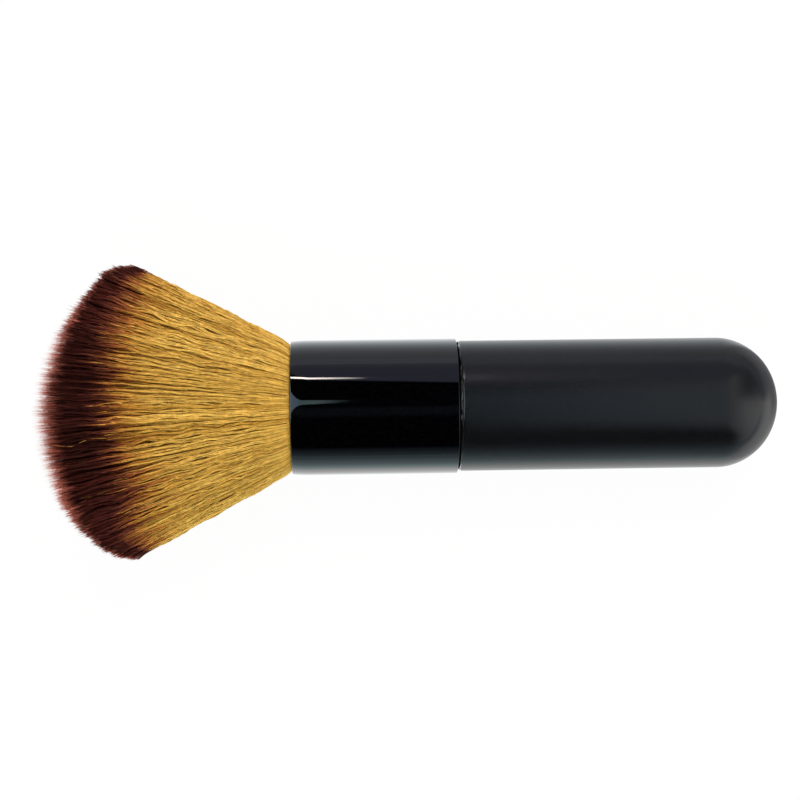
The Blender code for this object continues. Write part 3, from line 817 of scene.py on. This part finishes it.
lock_tone, tuft_tone = random.uniform(0, 1, LOCKS), random.uniform(0, 1, TUFTS)
own_tone = random.uniform(0, 1, FILAMENTS)
tone = 0.3 * lock_tone[lock] + 0.35 * tuft_tone[tuft] + 0.35 * own_tone
lock_dye, own_dye = random.normal(1, 0.06, LOCKS), random.normal(1, 0.1, FILAMENTS)
dye_line = DYE_LINE - np.minimum(DYE_CURVE * (roots[:, 0] - DYE_SHIFT) ** 2, DYE_FALL)
dye_shift = np.maximum(DYED - (even_tip - dye_line), LEAST_SHIFT)
dye_stretch = 1 / np.clip(lock_dye[lock] * own_dye, 0.6, 1.5)
missed = MISSED_SHIFT * (random.uniform(0, 1, FILAMENTS) < MISSED_SHARE)
pale = random.uniform(0, 1, FILAMENTS) < PALE_SHARE
dye_stretch *= np.where(pale, random.uniform(*PALE_STRETCH, FILAMENTS), 1.0)


def dye_and_tone(some, from_tip):
    """Where each joint of some filaments is on the ramps, and how light it is. The place is its
    distance from the tip, plus the lost pale tip, plus the shift, all times the stretch."""
    cut = blunt[some, None]
    shift = dye_shift[some, None] * np.clip((from_tip - TIP_START) / (TIP_END - TIP_START), 0, 1)
    dye = (from_tip + THROUGHLIT_TIP_CUT * cut + shift) * dye_stretch[some, None] + missed[some, None]
    # On trimmed filaments the tone is raised behind the end: thinner dye and a painted highlight.
    inside = np.clip(np.minimum(dye - FLANK_START, DYED - dye) / FLANK_RAMP, 0, 1)
    return dye, tone[some, None] + FLANK_DYE_AND_SHEEN * cut * inside


# %% Grow the filaments
angles = np.arctan2(roots[:, 1], roots[:, 0])
for kind, members, joints, parts in (("shell", shell, SHELL_JOINTS, 5), ("core", ~shell, CORE_JOINTS, 4)):
    chosen = np.flatnonzero(members)
    chosen = chosen[np.argsort(angles[chosen])]
    for number, some in enumerate(np.array_split(chosen, parts)):
        lines, from_tip = filament_lines(some, joints)
        dye, lightness = dye_and_tone(some, from_tip)
        name = f"{kind}_filaments_{number + 1}"
        piece = filament_piece(name, lines, from_tip, blunt[some], dye, lightness)
        dress(piece, fibre, "two_tone_filament", "bristle_bundle")

# %% [markdown]
# ## Floor
# The picture has a pure white ground with no visible edge. White paper under soft light comes out a
# little grey, so for rays from the camera, and for mirrored and passed light, the paper mixes in a
# glow, which is exactly white for the camera. The rest of it is plain paper, which still takes a faint
# shadow. In the lacquer's mirror the real paper is white only close to the brush and gets greyer and
# bluer away from it, where the tent's own shade lies on it, so the mirrored glow is a painted
# reflection: a ramp across the sheet with that shade painted in. Others beside the handle's dome and
# past it are darker in places, and beside the dome that is the painted shadow of the brush's end.

# %% White paper
SHEET = 4.0  # metres
GLOW_SHARE = 0.96

paper_mesh = bpy.data.meshes.new("paper_floor")
half = SHEET / 2
sheet_corners = [(-half, -half, 0), (half, -half, 0), (half, half, 0), (-half, half, 0)]
paper_mesh.from_pydata(sheet_corners, [], [(0, 1, 2, 3)])
paper = place_object("paper_floor", paper_mesh)

# %% What the paper looks like in mirrors
SPAN = 0.2  # the ramps run this many metres to both sides of the brush
DOME_START, DOME_BESIDE = 0.066, 0.069  # the dome's mirror starts to see the sheet here
PAST_DOME, FAR_OFF = 0.086, 0.11  # and over this stretch it turns to the sheet past the brush's end
sheet_stops = [(0.0, "74888E"), (0.125, "8199A1"), (0.285, "A0AFBA"), (0.35, "ACC2C8")]
sheet_stops += [(0.39, "CCE6E8"), (0.42, "FFFFFF"), (0.55, "F4F8FC"), (0.575, "D6DDE2")]
sheet_stops += [(0.6, "B8C0C7"), (0.635, "A3A7AF"), (0.69, "959AA2"), (0.8, "8D9298")]
# Beside the dome the mirrored paper is darker in the middle: the painted shadow of the brush's end.
dome_shadow_stops = [(0.0, "74888E"), (0.3, "8199A1"), (0.4, "E0E0E2"), (0.47, "CCCCCE")]
dome_shadow_stops += [(0.5, "808082"), (0.53, "80808A"), (0.56, "9C9CA2"), (0.8, "8D9298")]
far_off_stops = [(0.0, "74888E"), (0.25, "8199A1"), (0.32, "DCDCE0"), (0.42, "F4F4F6"), (0.5, "F4F4F6")]
far_off_stops += [(0.52, "B8B8BC"), (0.54, "9496A0"), (0.65, "62646C"), (0.85, "8D9298")]

sheet, tree, shader, place = new_material("white_paper")
fill(tree, shader, {"Base Color": linear("F4F4F4"), "Roughness": 0.9})
parts = add(tree, "SeparateXYZ", {0: place})
along_sheet, over_sheet = parts.outputs["X"], parts.outputs["Y"]
over = add(tree, "MapRange", {"Value": over_sheet, "From Min": -SPAN, "From Max": SPAN})
ramps = sheet_stops, dome_shadow_stops, far_off_stops
beside_brush, painted_shadow_beside_dome, past_dome = (add(tree, "ValToRGB", {"Fac": over}, stops) for stops in ramps)
away = add(tree, "MapRange", {"Value": along_sheet, "From Min": PAST_DOME, "From Max": FAR_OFF})
end_part = add(tree, "Mix", {0: away, 6: painted_shadow_beside_dome, 7: past_dome}, data_type="RGBA")
past_end = add(tree, "MapRange", {"Value": along_sheet, "From Min": DOME_START, "From Max": DOME_BESIDE})
mirrored = add(tree, "Mix", {0: past_end, 6: beside_brush, 7: end_part}, data_type="RGBA")

# %% What the camera sees of it
rays = add(tree, "LightPath")
camera_ray, glossy_ray = rays.outputs["Is Camera Ray"], rays.outputs["Is Glossy Ray"]
seen = add(tree, "Math", {0: camera_ray, 1: glossy_ray}, operation="MAXIMUM")
seen = add(tree, "Math", {0: seen, 1: rays.outputs["Is Transmission Ray"]}, operation="MAXIMUM")
factor = add(tree, "Math", {0: seen, 1: GLOW_SHARE}, operation="MULTIPLY")
shown = add(tree, "Mix", {0: camera_ray, 6: mirrored, 7: linear("FFFFFF")}, data_type="RGBA")
glow = add(tree, "Emission", {"Color": shown, "Strength": 1.0})
mix = add(tree, "MixShader", {0: factor, 1: shader, 2: glow})
fill(tree, tree.nodes["Material Output"], {"Surface": mix})
paper_mesh.materials.append(sheet)

# %% [markdown]
# ## Light
# The brush was photographed in a light tent, and the gloss ferrule shows all of it. The far wall is
# pale and cut off at the top, the near wall is lower and darker, and the end wall past the handle is
# the palest. A roof covers the rear of the tent only, so the ferrule has a black middle. In that dark
# there is one gap, wider at the far end, whose bright sky is the long slanted highlight of the
# ferrule. The world therefore has two faces. What mirrors see is that tent, put together from ramps
# over the direction's parts; what soft light comes from it is an even grey. Two large soft lamps,
# which mirrors don't see, give the hair its relief, the stronger one on the far side.

# %% Walls and roof of the tent
far_stops = [(0.0, "9EA4AE"), (0.14, "9CA2AE"), (0.17, "A8AEBA"), (0.2, "8C90A0")]
far_stops += [(0.32, "7B7D8D"), (0.78, "757790")]
near_stops = [(0.0, "687C85"), (0.06, "5C6C74"), (0.16, "4D545B"), (0.25, "323A44")]
near_stops += [(0.32, "000000"), (0.95, "000000"), (0.98, "2B2F33")]
roof_stops = [(0.0, "000000"), (0.06, "647E98"), (0.4, "9CA8B4"), (1.0, "B4B6BA")]
end_stops = [(0.0, "DCDCE0"), (0.3, "F0F0F2"), (0.5, "E4E4E6"), (0.65, "8C8E96"), (0.85, "62646C")]
black, grey, white = (0, 0, 0, 1), (0.5, 0.5, 0.5, 1), (1, 1, 1, 1)

world = bpy.data.worlds.new("light_tent")
bpy.context.scene.world = world
world.use_nodes = True
tree = world.node_tree
tree.nodes.clear()
parts = add(tree, "SeparateXYZ", {0: add(tree, "TexCoord").outputs["Generated"]})
lengthwise, sidewise, upright = (parts.outputs[axis] for axis in "XYZ")
far_wall = add(tree, "ValToRGB", {"Fac": upright}, far_stops)
# The far wall's top edge slants: it is where the height less the lengthwise part is 0.66.
wall_top = add(tree, "Math", {0: upright, 1: lengthwise}, operation="SUBTRACT")
cut = {"Value": wall_top, "From Min": 0.65, "From Max": 0.67, "To Min": 1.0, "To Max": 0.0}
cut = add(tree, "MapRange", cut)
far_wall = add(tree, "Mix", {0: cut, 6: black, 7: far_wall}, data_type="RGBA")
near_wall = add(tree, "ValToRGB", {"Fac": upright}, near_stops)
far_share = add(tree, "MapRange", {"Value": sidewise, "From Min": -0.05, "From Max": 0.05})
tent = add(tree, "Mix", {0: far_share, 6: near_wall, 7: far_wall}, data_type="RGBA")
# The roof covers the rear, and its edge slants the other way.
rearward = add(tree, "MapRange", {"Value": lengthwise, "From Min": 0.108, "From Max": 0.4})
roof = add(tree, "ValToRGB", {"Fac": rearward}, roof_stops)
roof_edge = add(tree, "Math", {0: upright, 1: lengthwise}, operation="ADD")
overhead = add(tree, "MapRange", {"Value": roof_edge, "From Min": 0.85, "From Max": 1.08})
roof = add(tree, "VectorMath", {0: roof, "Scale": overhead}, operation="SCALE")
tent = add(tree, "VectorMath", {0: tent, 1: roof}, operation="MAXIMUM")
endwise = add(tree, "MapRange", {"Value": lengthwise, "From Min": 0.45, "From Max": 0.8})
beside = add(tree, "MapRange", {"Value": sidewise, "From Min": -0.6, "From Max": 0.6})
end_wall = add(tree, "ValToRGB", {"Fac": beside}, end_stops)
tent = add(tree, "Mix", {0: endwise, 6: tent, 7: end_wall}, data_type="RGBA")

# %% [markdown]
# The gap's two edges and the colour of its sky are three ramps along it. An edge is a sideways place,
# raised by 0.4 because a ramp can't be negative, and the direction is in the gap where it lies
# between both.

# %% The gap in the tent's dark
GAP_STRENGTH = 5.0  # the sky in the gap, against white
LIFT = 0.4
high_stops = [(0.0, 0.95), (0.34, 0.831), (0.43, 0.74), (0.51, 0.675), (0.65, 0.622)]
high_stops += [(0.9, 0.62), (0.955, 0.612), (0.975, 0.6)]
low_stops = [(0.0, 0.1), (0.34, 0.303), (0.43, 0.39), (0.51, 0.442), (0.65, 0.489)]
low_stops += [(0.9, 0.503), (0.93, 0.531), (0.955, 0.58), (0.975, 0.6)]
pane_stops = [(0.0, "808C8E"), (0.2, "6E7C88"), (0.34, "63728A"), (0.5, "5E6F80"), (0.65, "54666C")]
pane_stops += [(0.88, "586C6C"), (0.915, "5A6868"), (0.93, "3E4C4C"), (0.955, "000000")]

run = add(tree, "MapRange", {"Value": lengthwise, "From Min": -0.3, "From Max": 0.06})
lifted = add(tree, "Math", {0: sidewise, 1: LIFT}, operation="ADD")
ramps = high_stops, low_stops, pane_stops
high, low, pane = (add(tree, "ValToRGB", {"Fac": run}, stops) for stops in ramps)
below = add(tree, "Math", {0: lifted, 1: high}, operation="LESS_THAN")
above = add(tree, "Math", {0: lifted, 1: low}, operation="GREATER_THAN")
open_part = add(tree, "Math", {0: below, 1: above}, operation="MULTIPLY")
gap_light = add(tree, "Math", {0: open_part, 1: GAP_STRENGTH}, operation="MULTIPLY")
gap = add(tree, "VectorMath", {0: pane, "Scale": gap_light}, operation="SCALE")
tent = add(tree, "VectorMath", {0: tent, 1: gap}, operation="ADD")

# %% The world's two faces
rays = add(tree, "LightPath")
soft = add(tree, "Mix", {0: rays.outputs["Is Glossy Ray"], 6: grey, 7: tent}, data_type="RGBA")
ground = add(tree, "Mix", {0: rays.outputs["Is Camera Ray"], 6: soft, 7: white}, data_type="RGBA")
ground = add(tree, "Background", {"Color": ground, "Strength": 1.0})
add(tree, "OutputWorld", {"Surface": ground})
print(f"{world.name}: {len(tree.nodes)} nodes")

# %% [markdown]
# A narrow strip lamp stands behind the far wall. The ferrule mirrors it as the thin bright line above
# the gap's highlight. It hangs a little aslant, and its light fades out towards the handle.


# %% Lamps
def lamp(name, place, target, size, power, colour, mirrored, slant=0.0):
    """An area lamp that shines from its place to the target. The sizes and places are metres."""
    light = bpy.data.lights.new(name, "AREA")
    light.shape = "RECTANGLE"
    light.size, light.size_y = size
    light.energy = power
    light.color = linear(colour)[:3]
    made = place_object(name, light)
    made.location = place
    aim = (Vector(target) - Vector(place)).to_track_quat("-Z", "Y")
    made.rotation_euler = (aim @ Quaternion((0, 0, 1), np.radians(slant))).to_euler()
    made.visible_glossy = mirrored
    made.visible_camera = False
    print(f"{name}: {size[0]} x {size[1]} m, {power} W")
    return light


FADE_START, FADE_END = -0.018, 0.026  # metres along the brush

middle = to_world(np.array([20.0, 0.0, 0.0]))
lamp("key_softbox", (0.1, 0.5, 0.6), middle, (0.5, 0.35), 4.8, "FFFAF2", False)
lamp("fill_softbox", (-0.1, -0.5, 0.45), middle, (0.5, 0.4), 3.15, "F6FFF2", False)
strip_place, strip_target = (-0.1875, 0.728, 0.559), (-0.1875, 0.012, -0.053)
strip = lamp("strip_lamp", strip_place, strip_target, (0.479, 0.045), 1.11, "FFF2EA", True, slant=-14)
strip.use_nodes = True
tree = strip.node_tree
parts = add(tree, "SeparateXYZ", {0: add(tree, "NewGeometry").outputs["Position"]})
fade = {"Value": parts.outputs["X"], "From Min": FADE_START, "From Max": FADE_END}
fade = add(tree, "MapRange", {**fade, "To Min": 1.0, "To Max": 0.0})
fill(tree, tree.nodes["Emission"], {"Strength": fade})

# %% [markdown]
# ## Camera
# The camera looks straight down from a third of a metre. The brush's axis rises 0.75 degrees to
# the right in the picture, and the picture's middle is 20 mm behind the mouth. The camera leans 0.8
# degrees so that the mouth's rim looks as nearly straight as it does in the photograph.

# %% Aim the camera
FIELD = 146.3  # millimetres across the picture
LENS, SENSOR = 81.0, 36.0
ROLL, LEAN = np.radians(0.75), np.radians(0.8)
NEAR, FAR = 0.01, 20.0  # metres

target = to_world(np.array([19.93, 1.2, 0.0]))
back = np.array([np.sin(LEAN), 0.0, np.cos(LEAN)])
right = np.array([np.cos(ROLL), -np.sin(ROLL), 0.0])
right = unit(right - back * (right @ back))
up = np.cross(back, right)
distance = LENS * FIELD / SENSOR * MM
camera_data = bpy.data.cameras.new("camera")
camera_data.lens = LENS
camera_data.sensor_width = SENSOR
camera_data.clip_start, camera_data.clip_end = NEAR, FAR
camera = place_object("camera", camera_data)
turn_to = np.eye(4)
turn_to[:3, :3] = np.column_stack((right, up, back))
turn_to[:3, 3] = target + back * distance
camera.matrix_world = Matrix(turn_to)
bpy.context.scene.camera = camera
bpy.context.scene.view_settings.view_transform = "Standard"
print(f"camera {distance / MM:.0f} mm away, {FIELD} mm across")
